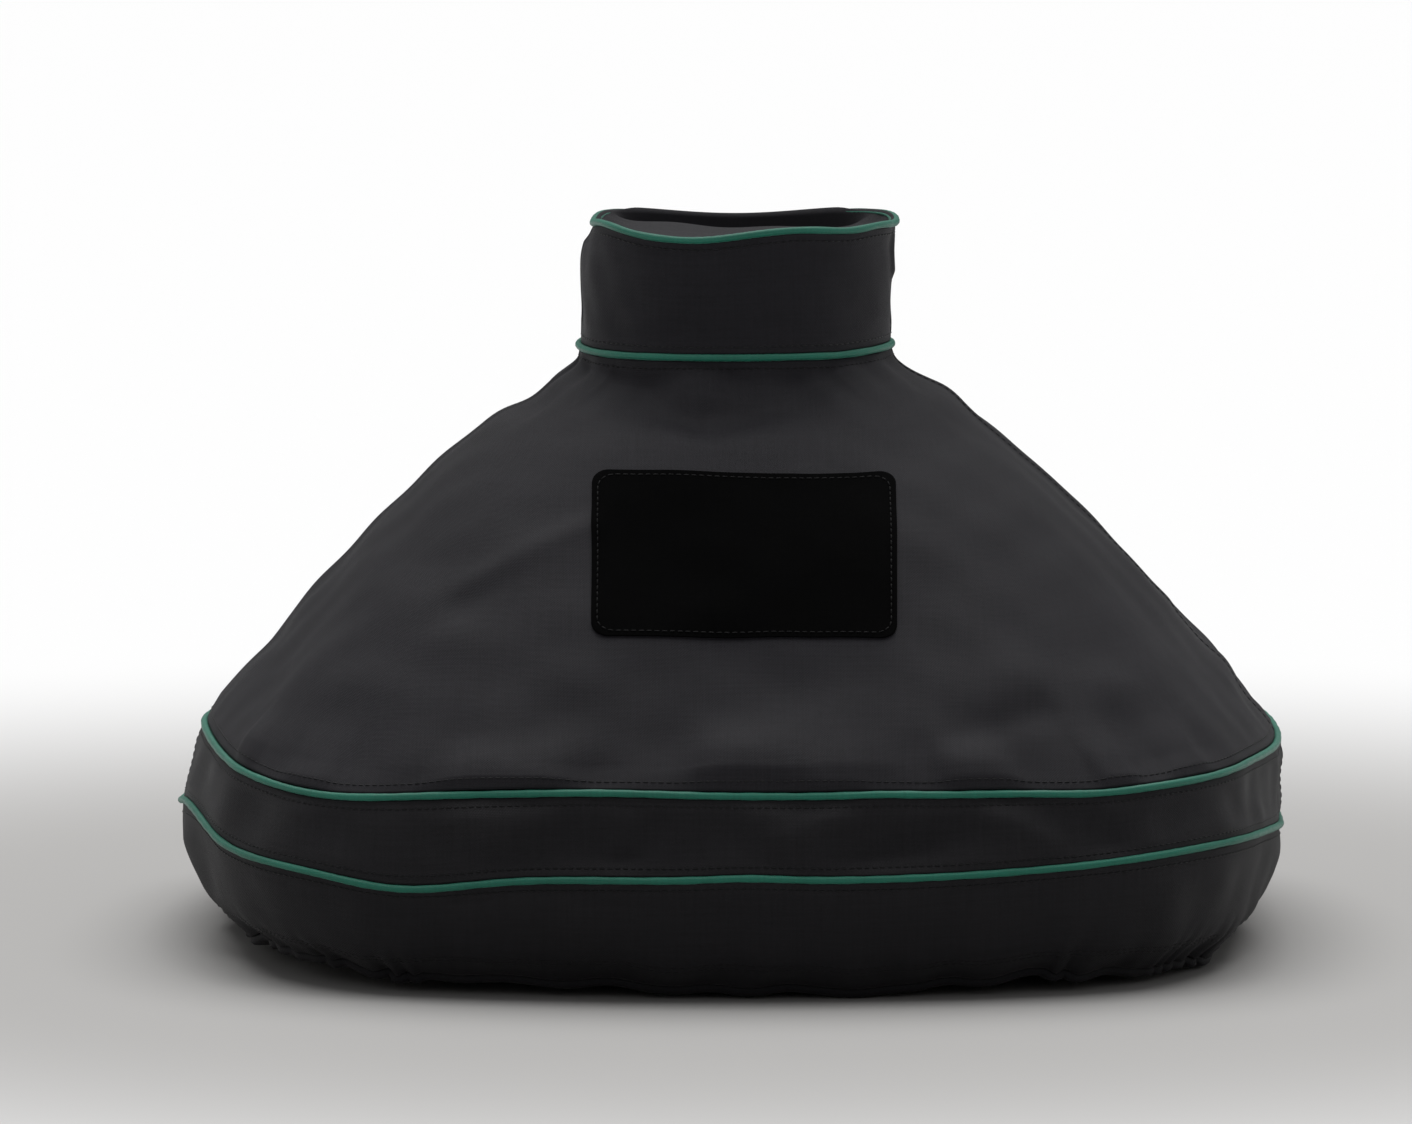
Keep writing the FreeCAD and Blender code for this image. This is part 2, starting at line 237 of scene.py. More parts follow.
def within(height, low, high, fade_low, fade_high):
    """1 between two heights, falling evenly to 0 at each over its own fade."""
    return np.clip((height - low) / fade_low, 0, 1) * np.clip((high - height) / fade_high, 0, 1)


def neck(bearing, height):
    """Below the collar the cloth hangs steeply before it spreads: a hollow that reaches furthest down at the
    front, and puckers all round, which are a wave of uneven pitch that fades down the dome."""
    turned = np.degrees(bearing)
    reach = np.clip(1 - np.abs(away_from(turned, 263)) / 46, 0, 1)
    reach = reach + 0.7 * np.clip(1 - np.abs(away_from(turned, 80)) / 50, 0, 1)
    hollow = COLLAR_BASE_Z - 0.013 - 0.015 * reach
    puckers = 0.0011 * np.cos(17 * bearing + 1.5 * np.cos(3 * bearing + 1))
    faded = bell(COLLAR_BASE_Z - 0.006 - height, 0.022)
    return puckers * faded - 0.0132 * reach**0.7 * bell(height - hollow, 0.012)


def bags(bearing, height):
    """Slack over the band's top seam, whose undersides are in shade. A bag stands out evenly further from the
    seam to the top of its underside, and dies away above that as a bell curve."""
    over = height - BAND_TOP_Z
    total = 0.0
    for middle, spread, depth, under in SLACK:
        up = np.clip(over / under, 0, 1) * bell(np.maximum(over - 1.5 * under, 0), 0.020)
        total = total + depth * up * bell(away_from(np.degrees(bearing), middle), spread, 4)
    return total


def gathers(bearing, height):
    """Pleats drawn up by the elastic, deepest at the hem: a wave whose pitch and depth drift round it."""
    low = np.clip((GATHERED_HIGH - height) / GATHERED_HIGH, 0, 1) ** 1.5
    turn = 52 * bearing + 3.4 * np.cos(5 * bearing + 0.7) + 2.3 * np.cos(11 * bearing)
    depth = 0.0017 + 0.0009 * np.cos(7 * bearing + 2) + 0.0006 * np.cos(19 * bearing)
    return low * depth * np.cos(turn)


def side_seams(bearing, height, body, dome, collar):
    """Each side seam stands up as a soft ridge, and the dome beside it is drawn in. The right one has a step
    where its allowance is folded over. The collar bulges below its top seam at the left."""
    from_right, from_left = away_from(np.degrees(bearing), 0), away_from(np.degrees(bearing), 180)
    ridge = sum(bell(np.radians(away) * BODY_HALF, 0.006) for away in (from_right, from_left))
    total = (0.0016 * body + 0.0010 * collar) * ridge
    drawn_in = 0.0012 * bell(from_right, 32) + 0.0014 * bell(from_left, 32)
    total = total - drawn_in * within(height, BAND_TOP_Z, COLLAR_BASE_Z, 0.05, 0.05)
    fold_over = np.clip((0.285 - height) / 0.06, 0, 1) / (1 + np.exp(-(height - 0.196) / 0.002))
    total = total + 0.0030 * fold_over * bell(from_right + 3, 7) * dome
    up_collar = (height - COLLAR_BASE_Z) / (COLLAR_TOP_Z - COLLAR_BASE_Z)
    bulge = (0.0048 * bell(from_left, 38) - 0.0026 * bell(from_right, 38)) * bell(up_collar - 0.68, 0.34)
    allowance = 0.0026 * bell(from_right + 4, 3) * np.clip((up_collar - 0.5) / 0.1, 0, 1)
    return total + collar * (bulge + allowance)


def relief(point, bearing, height):
    """How far the cloth stands out from its plain shape, in metres: each strip's unevenness, the folds,
    and what the collar, the slack, the elastic and the side seams do. All are nothing at a level seam."""
    dome = within(height, BAND_TOP_Z, COLLAR_BASE_Z, 0.015, 0.012)
    collar = within(height, COLLAR_BASE_Z, COLLAR_TOP_Z, 0.015, 0.012)
    band = within(height, BAND_BOTTOM_Z, BAND_TOP_Z, 0.012, 0.012)
    skirt = np.clip((BAND_BOTTOM_Z - height) / 0.02, 0, 1)
    body = dome + band + skirt
    total = dome * (0.0012 * swell(point, 0.15, 3) + 0.0004 * swell(point, 0.05, 4))
    total = total + collar * (0.0006 * swell(point, 0.07, 5) + 0.0002 * swell(point, 0.03, 6))
    total = total + band * (0.0012 * swell(point, 0.09, 7) + 0.0006 * swell(point, 0.040, 8))
    total = total + skirt * (0.0012 * swell(point, 0.10, 9) + 0.0005 * swell(point, 0.04, 10))
    total = total + body * soft_folds(point) + dome * neck(bearing, height)
    total = total + bags(bearing, height) + gathers(bearing, height)
    return total + side_seams(bearing, height, body, dome, collar)


def plain(bearing, height):
    """Cloth before its folds: the outline of each height, with the seams' wandering."""
    half, corner = smooth_level(height, 1), smooth_level(height, 2)
    x, y = outline(half, corner, bearing)
    out = between_seams(bearing, height, PUSH_OUT)
    z = height + between_seams(bearing, height, RIDE_UP)
    return np.stack([x + out * np.cos(bearing), y + out * np.sin(bearing), z])


def cloth(bearing, height, stand_off=0.0):
    """Outer face of the cover at each bearing and height, moved by stand_off along its outward normal. The
    normal is the cross product of the steps to a neighbour round the outline and a neighbour above."""
    bearing, height = np.broadcast_arrays(np.asarray(bearing, float), np.asarray(height, float))
    here = plain(bearing, height)
    step = 1e-4
    around = plain(bearing + step, height) - here
    above = plain(bearing, height + step) - here
    normal = np.cross(around, above, axis=0)
    normal /= np.maximum(np.linalg.norm(normal, axis=0), 1e-12)
    found = here + (relief(here, bearing, height) + stand_off) * normal
    found[2] = np.maximum(found[2], LOWEST_CLOTH)
    return found


def spaced(start, end, pitch):
    """Bearings from start to end, a pitch apart along the body's outline."""
    dense = np.linspace(start, end, 4001)
    x, y = outline(BODY_HALF, 0.5 * BODY_HALF, dense)
    length = np.concatenate([[0], np.cumsum(np.hypot(np.diff(x), np.diff(y)))])
    count = max(int(round(length[-1] / pitch)), 4) + 1
    return np.interp(np.linspace(0, length[-1], count), length, dense)


def grid_mesh(name, points, uv, closed=False, values=None):
    """Quads over a grid of points, rows by columns, with a UV in metres. A closed grid joins its last
    column to its first. values are attributes, one number for each point."""
    rows, columns = points.shape[1:]
    index = np.arange(rows * columns).reshape(rows, columns)
    right = np.roll(index, -1, axis=1) if closed else index[:, 1:]
    left = index if closed else index[:, :-1]
    quads = np.stack([left[:-1], right[:-1], right[1:], left[1:]], axis=-1).reshape(-1, 4)
    mesh = bpy.data.meshes.new(name)
    mesh.vertices.add(rows * columns)
    mesh.vertices.foreach_set("co", np.moveaxis(points, 0, -1).ravel())
    mesh.loops.add(quads.size)
    mesh.loops.foreach_set("vertex_index", quads.ravel())
    mesh.polygons.add(len(quads))
    mesh.polygons.foreach_set("loop_start", np.arange(0, quads.size, 4))
    mesh.update(calc_edges=True)
    corner_uv = np.moveaxis(uv, 0, -1).reshape(-1, 2)[quads.ravel()]
    mesh.uv_layers.new(name="weave").data.foreach_set("uv", corner_uv.ravel())
    for key, value in (values or {}).items():
        mesh.attributes.new(key, "FLOAT", "POINT").data.foreach_set("value", value.ravel())
    mesh.polygons.foreach_set("use_smooth", np.ones(len(quads), bool))
    made = bpy.data.objects.new(name, mesh)
    bpy.context.collection.objects.link(made)
    return made


def lengths(points):
    """Where each point lies on the cloth in metres: along its row from the middle one, and up its column."""
    row = np.linalg.norm(np.diff(points, axis=2), axis=0)
    across = np.concatenate([np.zeros((points.shape[1], 1)), np.cumsum(row, axis=1)], axis=1)
    across -= across[:, across.shape[1] // 2][:, None]
    column = np.linalg.norm(np.diff(points, axis=1), axis=0)
    up = np.concatenate([np.zeros((1, points.shape[2])), np.cumsum(column, axis=0)], axis=0)
    middle = up[:, up.shape[1] // 2][:, None]
    return np.stack([across, np.broadcast_to(middle, up.shape)])


def thicken(piece, thickness):
    """Gives a sheet its thickness, inwards from its outer face."""
    solid = piece.modifiers.new("thickness", "SOLIDIFY")
    solid.thickness, solid.offset = thickness, -1.0
    solid.use_quality_normals = True


def fasten(piece, slot, material, *nodes):
    """Hangs a piece on the cover's one body, in place of its plain CAD nodes."""
    piece.data.materials.append(material)
    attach(piece, "root")
    if nodes:
        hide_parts(*nodes)


def panel(name, node, slot, material, side, low, high, rows, pitch=0.0030):
    """One sewn panel between two seams."""
    bearing = spaced(*side, pitch)[None, :]
    share = np.linspace(0, 1, rows)
    height = (low + (high - low) * (share - 0.06 * np.sin(2 * math.pi * share)))[:, None]
    points = cloth(bearing, height)
    uv = lengths(points)
    edge = np.minimum(height - low, high - height) + 0 * bearing
    side_seam = np.minimum(np.abs(bearing - side[0]), np.abs(side[1] - bearing)) * BODY_HALF + 0 * height
    near = np.exp(-np.minimum(edge, side_seam) / 0.006)
    here = plain(bearing + 0 * height, height + 0 * bearing)
    crest = np.clip(relief(here, bearing, height) / 0.004, -1, 1)
    piece = grid_mesh(name, points, uv, values={"near_seam": near, "crest": crest})
    thicken(piece, CLOTH)
    fasten(piece, slot, material, node)
    faces = np.zeros(len(piece.data.polygons))
    piece.data.polygons.foreach_get("area", faces)


def woven(name, shade, dusty, pitch, rough, sheen, gloss, relief_depth):
    """Plain weave: over one thread and under the next, each thread a half round, on cloth with a soft
    rumple. The colour drifts softly, threads vary a little, and each thread's colour darkens towards its
    edges, which is painted shade in the gaps between threads. It is paler where it has rubbed on crests
    and beside seams."""
    made = bpy.data.materials.new(name)
    made.use_nodes = True
    nodes, links = made.node_tree.nodes, made.node_tree.links
    shader = nodes["Principled BSDF"]

    def maths(operation, a, b=None, clamp=False):
        """One sum of two numbers or sockets."""
        node = nodes.new("ShaderNodeMath")
        node.operation, node.use_clamp = operation, clamp
        for socket, value in zip(node.inputs, (a, b)):
            if isinstance(value, (int, float)):
                socket.default_value = value
            elif value is not None:
                links.new(value, socket)
        return node.outputs[0]

    def noise(scale, detail):
        """Cloudy noise by place in metres, with so many clouds to the metre."""
        node = nodes.new("ShaderNodeTexNoise")
        node.inputs["Scale"].default_value, node.inputs["Detail"].default_value = scale, detail
        links.new(place.outputs["Object"], node.inputs["Vector"])
        return node.outputs["Fac"]

    def mixed(share, a, b):
        """A colour that share of the way from one to another."""
        node = nodes.new("ShaderNodeMix")
        node.data_type = "RGBA"
        links.new(share, node.inputs["Factor"])
        for socket, value in ((node.inputs[6], a), (node.inputs[7], b)):
            if isinstance(value, tuple):
                socket.default_value = (*value, 1)
            else:
                links.new(value, socket)
        return node.outputs[2]

    place = nodes.new("ShaderNodeTexCoord")
    uv = nodes.new("ShaderNodeUVMap")
    uv.uv_map = "weave"
    axes = nodes.new("ShaderNodeSeparateXYZ")
    links.new(uv.outputs["UV"], axes.inputs[0])
    warp = maths("SINE", maths("MULTIPLY", axes.outputs["X"], math.pi / pitch))
    weft = maths("SINE", maths("MULTIPLY", axes.outputs["Y"], math.pi / pitch))
    over = maths("GREATER_THAN", maths("MULTIPLY", warp, weft), 0.0)
    under = maths("SUBTRACT", 1.0, over)
    warp_over = maths("MULTIPLY", over, maths("ABSOLUTE", warp))
    weft_over = maths("MULTIPLY", under, maths("ABSOLUTE", weft))
    threads = maths("ADD", warp_over, weft_over)

    def streaks(across, along):
        """Threads of uneven thickness: noise drawn out along one way of the weave."""
        stretched = nodes.new("ShaderNodeCombineXYZ")
        links.new(maths("MULTIPLY", axes.outputs["X"], across), stretched.inputs["X"])
        links.new(maths("MULTIPLY", axes.outputs["Y"], along), stretched.inputs["Y"])
        node = nodes.new("ShaderNodeTexNoise")
        node.inputs["Scale"].default_value, node.inputs["Detail"].default_value = 1.0, 1.0
        links.new(stretched.outputs["Vector"], node.inputs["Vector"])
        return node.outputs["Fac"]

    drift = noise(7.0, 3.0)
    slubs = maths("MULTIPLY", maths("ADD", streaks(560.0, 22.0), streaks(22.0, 560.0)), 0.5)
    worn = nodes.new("ShaderNodeAttribute")
    worn.attribute_name = "near_seam"
    crest = nodes.new("ShaderNodeAttribute")
    crest.attribute_name = "crest"
    at_seams = maths("MULTIPLY", worn.outputs["Fac"], 0.35)
    rub = maths("ADD", at_seams, maths("MULTIPLY", crest.outputs["Fac"], 0.15))
    rub = maths("MULTIPLY", rub, maths("ADD", drift, 0.1), clamp=True)
    low = tuple(0.78 * c for c in shade)
    base = mixed(maths("MULTIPLY", maths("SUBTRACT", drift, 0.3), 2.2, clamp=True), low, shade)
    base = mixed(rub, base, dusty)
    # Painted shade: the colour darkens towards each thread's edges, in the gaps between threads; the slubs
    # give the threads their own uneven tone.
    slub_tone_and_gap_shade = maths("ADD", maths("MULTIPLY", threads, 0.4), maths("MULTIPLY", slubs, 1.5))
    gap_shade_and_slub_dark = tuple(0.45 * c for c in shade)
    cloth_colour = mixed(maths("SUBTRACT", slub_tone_and_gap_shade, 0.28, clamp=True), gap_shade_and_slub_dark, base)
    links.new(cloth_colour, shader.inputs["Base Color"])
    links.new(maths("ADD", maths("MULTIPLY", drift, 0.22), rough - 0.11), shader.inputs["Roughness"])
    rumple = nodes.new("ShaderNodeBump")
    rumple.inputs["Strength"].default_value, rumple.inputs["Distance"].default_value = 0.5, 0.0012
    links.new(noise(34.0, 3.0), rumple.inputs["Height"])
    bump = nodes.new("ShaderNodeBump")
    bump.inputs["Strength"].default_value, bump.inputs["Distance"].default_value = 0.55, relief_depth
    links.new(rumple.outputs["Normal"], bump.inputs["Normal"])
    links.new(maths("ADD", threads, maths("MULTIPLY", slubs, 0.5)), bump.inputs["Height"])
    links.new(bump.outputs["Normal"], shader.inputs["Normal"])
    shader.inputs["Sheen Weight"].default_value = sheen
    shader.inputs["Sheen Roughness"].default_value = 0.45
    shader.inputs["Specular IOR Level"].default_value = gloss
    return made


shell_cloth = woven("shell_cloth", shade=(0.0176, 0.0167, 0.0210), dusty=(0.040, 0.038, 0.042),
                    pitch=0.00085, rough=0.60, sheen=0.02, gloss=0.15, relief_depth=0.00022)
band_cloth = woven("band_cloth", shade=(0.0170, 0.0162, 0.0190), dusty=(0.040, 0.038, 0.040),
                   pitch=0.00085, rough=0.62, sheen=0.05, gloss=0.16, relief_depth=0.00022)

DOME_LOW, DOME_HIGH = BAND_TOP_Z + SEAM_GAP, COLLAR_BASE_Z - SEAM_GAP
panel("dome_front_panel", "dome_front", "shell_cloth", shell_cloth, FRONT, DOME_LOW, DOME_HIGH, 112)
panel("dome_back_panel", "dome_back", "shell_cloth", shell_cloth, BACK, DOME_LOW, DOME_HIGH, 112)

# --------------------------------------------------------------------------------------------------
# Side band and skirt, front and back.
# The same cloth, in strips. The band is sewn between the two lower pipings, and the skirt hangs from the
# lower one and is drawn in under the grill's rim by the elastic in its hem.

SKIRT_LOW = 0.006
for side_name, side in (("front", FRONT), ("back", BACK)):
    panel(f"side_band_{side_name}_panel", f"side_band_{side_name}", "band_cloth", band_cloth, side,
          BAND_BOTTOM_Z + SEAM_GAP, BAND_TOP_Z - SEAM_GAP, 26)
    panel(f"skirt_{side_name}_panel", f"skirt_{side_name}", "band_cloth", band_cloth, side,
          SKIRT_LOW, BAND_BOTTOM_Z - SEAM_GAP, 44, pitch=0.0024)

# --------------------------------------------------------------------------------------------------
# Collar, front and back.
# Two half rounds of the shell cloth that stand up round the vent cap, seamed at the left and right.

COLLAR_LOW, COLLAR_HIGH = COLLAR_BASE_Z + SEAM_GAP, COLLAR_TOP_Z - SEAM_GAP
for side_name, side in (("front", FRONT), ("back", BACK)):
    panel(f"collar_{side_name}_panel", f"collar_{side_name}", "shell_cloth", shell_cloth, side,
          COLLAR_LOW, COLLAR_HIGH, 48, pitch=0.0050)

# --------------------------------------------------------------------------------------------------
# Closed top of the collar.
# A disc of the shell cloth, cut a little large and sewn into the collar's top seam. It lies slack on the
# vent cap and drops into a trough before the back of the rim.

RINGS, TOP_CUT_RADIUS = 64, 0.093
# How far its slack floor lies below the rim, how much more at the right, and how deep the trough is.
TOP_SLACK, TOP_SLACK_RIGHT, TROUGH = 0.0078, 0.0040, 0.016


def top_cloth():
    """Points on rings from the middle to the rim. Each ring is the rim drawn in, and the height falls
    from the rim to a slack floor. Across the back the floor drops into a trough, and the edge stands up
    before the piping. At the front the cloth puckers beside the seam, as a wave of uneven pitch."""
    bearing = spaced(0, 2 * math.pi, 0.0075)[:-1][None, :]
    rim = cloth(bearing, COLLAR_TOP_Z + SEAM_GAP)
    middle = rim.mean(axis=2, keepdims=True)
    share = (np.linspace(0.02, 1, RINGS) ** 0.75)[:, None]
    points = middle + (rim - middle) * share * (1 - 0.006)
    x, y = points[0] / COLLAR_RADIUS, points[1] / COLLAR_RADIUS
    floor = COLLAR_TOP_Z - TOP_SLACK - TOP_SLACK_RIGHT / (1 + np.exp(-(x - 0.45) / 0.16))
    floor = floor + 0.0007 * swell(points, 0.06, 21) - TROUGH / (1 + np.exp(-(y - 0.56) / 0.03))
    back = np.clip((np.sin(bearing) - 0.40) / 0.34, 0, 1)
    back = back**2 * (3 - 2 * back)
    hold = (1 - back) * np.clip((share - 0.62) / 0.38, 0, 1) ** 3.0
    rise = np.clip((share - 0.945) / 0.026, 0, 1)
    hold = hold + back * rise**2 * (3 - 2 * rise)
    points[2] = floor * (1 - hold) + rim[2] * hold
    points[2] += 0.0014 * back * bell(share - 0.975, 0.014)
    pull = (1 - back) * np.clip((share - 0.75) / 0.25, 0, 1) * np.clip((1 - share) / 0.06, 0, 1)
    points[2] += 0.0005 * pull * np.cos(31 * bearing + 2 * np.cos(4 * bearing))
    return points


def round_mesh(name, points):
    """Ring grid closed with a fan of triangles at the middle. Its UV is the length along the cloth from
    the middle, laid out along each point's bearing."""
    rings, columns = points.shape[1:]
    flat = np.moveaxis(points, 0, -1).reshape(-1, 3)
    centre = flat[:columns].mean(axis=0)
    index = np.arange(rings * columns).reshape(rings, columns)
    after = np.roll(index, -1, axis=1)
    quads = np.stack([index[:-1], index[1:], after[1:], after[:-1]], axis=-1).reshape(-1, 4)
    fan = np.stack([np.full(columns, rings * columns), index[0], after[0]], axis=-1)
    mesh = bpy.data.meshes.new(name)
    mesh.from_pydata(np.vstack([flat, centre]).tolist(), [], quads.tolist() + fan.tolist())
    corner = np.zeros(len(mesh.loops), np.int32)
    mesh.loops.foreach_get("vertex_index", corner)
    outward = points[:2] - centre[:2, None, None]
    outward /= np.linalg.norm(outward, axis=0)
    step = np.linalg.norm(np.diff(points, axis=1), axis=0)
    first = np.linalg.norm(points[:, :1] - centre[:, None, None], axis=0)
    length = np.concatenate([first, step]).cumsum(axis=0)
    uv = np.vstack([np.moveaxis(outward * length, 0, -1).reshape(-1, 2), (0, 0)])
    mesh.uv_layers.new(name="weave").data.foreach_set("uv", uv[corner].ravel())
    mesh.polygons.foreach_set("use_smooth", np.ones(len(mesh.polygons), bool))
    made = bpy.data.objects.new(name, mesh)
    bpy.context.collection.objects.link(made)
    return made


top = round_mesh("collar_top_cloth", top_cloth())
thicken(top, CLOTH)
fasten(top, "shell_cloth", shell_cloth, "collar_top_disc")

# --------------------------------------------------------------------------------------------------
# Pipings, one in each level seam.
# A bias-cut strip of green cloth is folded round a filler cord, and its two plies are sewn into the seam
# between the panels.

# The middle of the piping stands proud of the cloth's face. Its tail is the flange, which is folded down and
# shorter at the collar's top.
PIPING_RADIUS, PIPING_PROUD, PLY, FILLER_RADIUS = 0.0021, 0.0009, 0.0006, 0.0014
FLANGE, FLANGE_FOLDED_DOWN = 0.0060, 0.0020
LOWEST_TUBE = 0.0004


def carried(name, bearing, height, section, swelling=1.0):
    """A section carried round the cover along one height, and closed into a tube. Its points are
    (outward, upward) from the outer face of the cloth, times the swelling at each place, and it never
    sinks into the table."""
    base = cloth(bearing, height)
    along = np.roll(base, -1, axis=1) - np.roll(base, 1, axis=1)
    along /= np.linalg.norm(along, axis=0)
    outward = np.stack([np.cos(bearing), np.sin(bearing), np.zeros_like(bearing)])
    upward = np.cross(outward, along, axis=0)
    upward /= np.linalg.norm(upward, axis=0)
    out, up = section[:, 0][:, None] * swelling, section[:, 1][:, None] * swelling
    points = base[:, None] + out * outward[:, None] + up * upward[:, None]
    step = np.linalg.norm(np.roll(base, -1, axis=1) - base, axis=0)
    distance = np.concatenate([[0], np.cumsum(step)[:-1]])
    girth = np.concatenate([[0], np.cumsum(np.linalg.norm(np.diff(section, axis=0), axis=1))])
    points[2] = np.maximum(points[2], LOWEST_TUBE)
    points = np.concatenate([points, points[:, :1]], axis=1)
    girth = np.append(girth, girth[-1] + np.linalg.norm(section[-1] - section[0]))
    uv = np.stack(np.broadcast_arrays(distance[None, :], girth[:, None]))
    made = grid_mesh(name, points, uv, closed=True)
    weld(made)
    return made


def weld(piece):
    """Joins the first and last rows of a tube's grid, and points its faces outwards."""
    work = bmesh.new()
    work.from_mesh(piece.data)
    bmesh.ops.remove_doubles(work, verts=work.verts, dist=1e-7)
    bmesh.ops.recalc_face_normals(work, faces=work.faces)
    work.to_mesh(piece.data)
    work.free()


def piping_section(flange):
    """Keyhole: most of a circle, then the tail of two plies, as long as the flange, that runs inwards."""
    open_angle = math.asin(PLY / PIPING_RADIUS)
    angle = np.linspace(math.pi - open_angle, -math.pi + open_angle, 17)
    round_part = np.stack([np.cos(angle), np.sin(angle)], axis=1) * PIPING_RADIUS
    tail = np.array([(-PIPING_RADIUS - flange, -PLY), (-PIPING_RADIUS - flange, PLY)])
    return np.vstack([round_part, tail]) + (PIPING_PROUD, 0)


piping_cloth = woven("piping_cloth", shade=(0.005, 0.190, 0.122), dusty=(0.13, 0.45, 0.35),
                     pitch=0.00045, rough=0.45, sheen=0.10, gloss=0.40, relief_depth=0.0001)
filler_cord = woven("filler_cord", shade=(0.62, 0.60, 0.55), dusty=(0.7, 0.68, 0.62),
                    pitch=0.0006, rough=0.8, sheen=0.1, gloss=0.2, relief_depth=0.0002)

for seam in ("collar_top", "collar_base", "band_top", "band_bottom"):
    pitch = 0.0042 if seam.startswith("band") else 0.009
    bearing = spaced(0, 2 * math.pi, pitch)[:-1]
    pucker = 1 + 0.05 * np.cos(230 * bearing + 2 * np.cos(9 * bearing)) + 0.03 * np.cos(97 * bearing)
    flange = FLANGE_FOLDED_DOWN if seam == "collar_top" else FLANGE
    level = np.full_like(bearing, SEAMS[seam])
    trim = carried(f"{seam}_piping_trim", bearing, level, piping_section(flange), pucker)
    fasten(trim, "piping_cloth", piping_cloth, f"{seam}_piping")
    angle = np.linspace(0, 2 * math.pi, 9)[:-1]
    ring = np.stack([np.cos(angle), np.sin(angle)], axis=1) * FILLER_RADIUS + (PIPING_PROUD, 0)
    filler = carried(f"{seam}_filler_cord", bearing, level, ring)
    fasten(filler, "piping_filler", filler_cord, f"{seam}_piping_filler")

# --------------------------------------------------------------------------------------------------
# Hem casing and its elastic.
# The skirt's edge is folded back into a flat tunnel and sewn down. A braided elastic runs in the tunnel and
# gathers the hem.

# The casing's outer and inner edges from the skirt's face, its height and the foot's height above the table.
HEM_OUT, HEM_IN, HEM_TALL, HEM_FOOT = -0.0005, -0.0195, 0.0062, 0.0008
ELASTIC_HALF_WIDE, ELASTIC_HALF_TALL = 0.006, 0.0012


def hem_ring(name, section):
    """A section carried round the hem under the skirt's edge, so it rises and pinches with the gathers."""
    bearing = spaced(0, 2 * math.pi, 0.0024)[:-1]
    return carried(name, bearing, np.full_like(bearing, SKIRT_LOW), section)


# The casing's section is a superellipse: each of cosine and sine is raised to a power below one, sign kept.
angle = np.linspace(0, 2 * math.pi, 25)[:-1]
middle_out, half_wide, half_tall = (HEM_OUT + HEM_IN) / 2, (HEM_OUT - HEM_IN) / 2, HEM_TALL / 2
middle_up = HEM_FOOT + half_tall - SKIRT_LOW
casing_section = np.stack([
    middle_out + half_wide * np.sign(np.cos(angle)) * np.abs(np.cos(angle)) ** 0.45,
    middle_up + half_tall * np.sign(np.sin(angle)) * np.abs(np.sin(angle)) ** 0.6,
], axis=1)
casing = hem_ring("hem_casing_cloth", casing_section)
fasten(casing, "band_cloth", band_cloth, "hem_casing")
elastic_section = np.stack([
    middle_out + ELASTIC_HALF_WIDE * np.cos(angle[::3]),
    middle_up + ELASTIC_HALF_TALL * np.sin(angle[::3]),
], axis=1)
elastic_braid = woven("elastic_braid", shade=(0.03, 0.03, 0.03), dusty=(0.06, 0.06, 0.06),
                      pitch=0.0012, rough=0.7, sheen=0.0, gloss=0.3, relief_depth=0.0003)
elastic = hem_ring("hem_elastic_braid", elastic_section)
fasten(elastic, "elastic", elastic_braid, "hem_elastic")

# --------------------------------------------------------------------------------------------------
# Seam tapes on the inside.
# Narrow woven tape is sewn over the raw edges of every seam, as level rings at the four piped seams and as
# strips down both side seams.

TAPE, TAPE_GAP, TAPE_WIDTH, SIDE_TAPE_HALF = 0.0008, 0.0004, 0.012, 0.008
seam_tape = woven("seam_tape", shade=(0.022, 0.022, 0.024), dusty=(0.05, 0.05, 0.05),
                  pitch=0.0007, rough=0.75, sheen=0.1, gloss=0.2, relief_depth=0.0002)


def tape(name, node, bearing, low, high, rows, closed):
    """A strip of tape that lies on the inner face of the cloth."""
    height = np.linspace(low, high, rows)[:, None]
    points = cloth(bearing[None, :], height, -CLOTH - TAPE_GAP)
    uv = lengths(points)
    piece = grid_mesh(name, points, uv, closed=closed)
    thicken(piece, TAPE)
    fasten(piece, "seam_tape", seam_tape, node)
    faces = np.zeros(len(piece.data.polygons))
    piece.data.polygons.foreach_get("area", faces)


whole = spaced(0, 2 * math.pi, 0.005)[:-1]
for node, low in (("collar_base_seam_tape", COLLAR_LOW), ("collar_top_seam_tape", COLLAR_HIGH - TAPE_WIDTH),
                  ("band_top_seam_tape", BAND_TOP_Z - SEAM_GAP - TAPE_WIDTH),
                  ("band_bottom_seam_tape", BAND_BOTTOM_Z + SEAM_GAP)):
    tape(node.replace("seam_tape", "tape_ring"), node, whole, low, low + TAPE_WIDTH, 5, True)

# The side tapes: lowest and highest height, half-width as a bearing in radians, and rows of points.
side_runs = {
    "collar": (COLLAR_LOW + TAPE_WIDTH, COLLAR_HIGH - TAPE_WIDTH, SIDE_TAPE_HALF / COLLAR_RADIUS, 14),
    "dome": (DOME_LOW + 0.001, DOME_HIGH - 0.001, 0.022, 70),
    "band": (BAND_BOTTOM_Z + SEAM_GAP + TAPE_WIDTH, BAND_TOP_Z - SEAM_GAP - TAPE_WIDTH, 0.0113, 8),
    "skirt": (0.020, BAND_BOTTOM_Z - SEAM_GAP, 0.0113, 20),
}
for level, (low, high, reach, rows) in side_runs.items():
    for side_name, middle in (("right", 0.0), ("left", math.pi)):
        bearing = middle + np.linspace(-reach, reach, 7)
        tape_name = f"{level}_{side_name}_tape_strip"
        tape(tape_name, f"{level}_side_tape_{side_name}", bearing, low, high, rows, False)

# --------------------------------------------------------------------------------------------------
# Blank patch on the dome's front.
# A rectangle of close-woven black cloth with rounded corners, sewn down round its edge. It carries no mark.

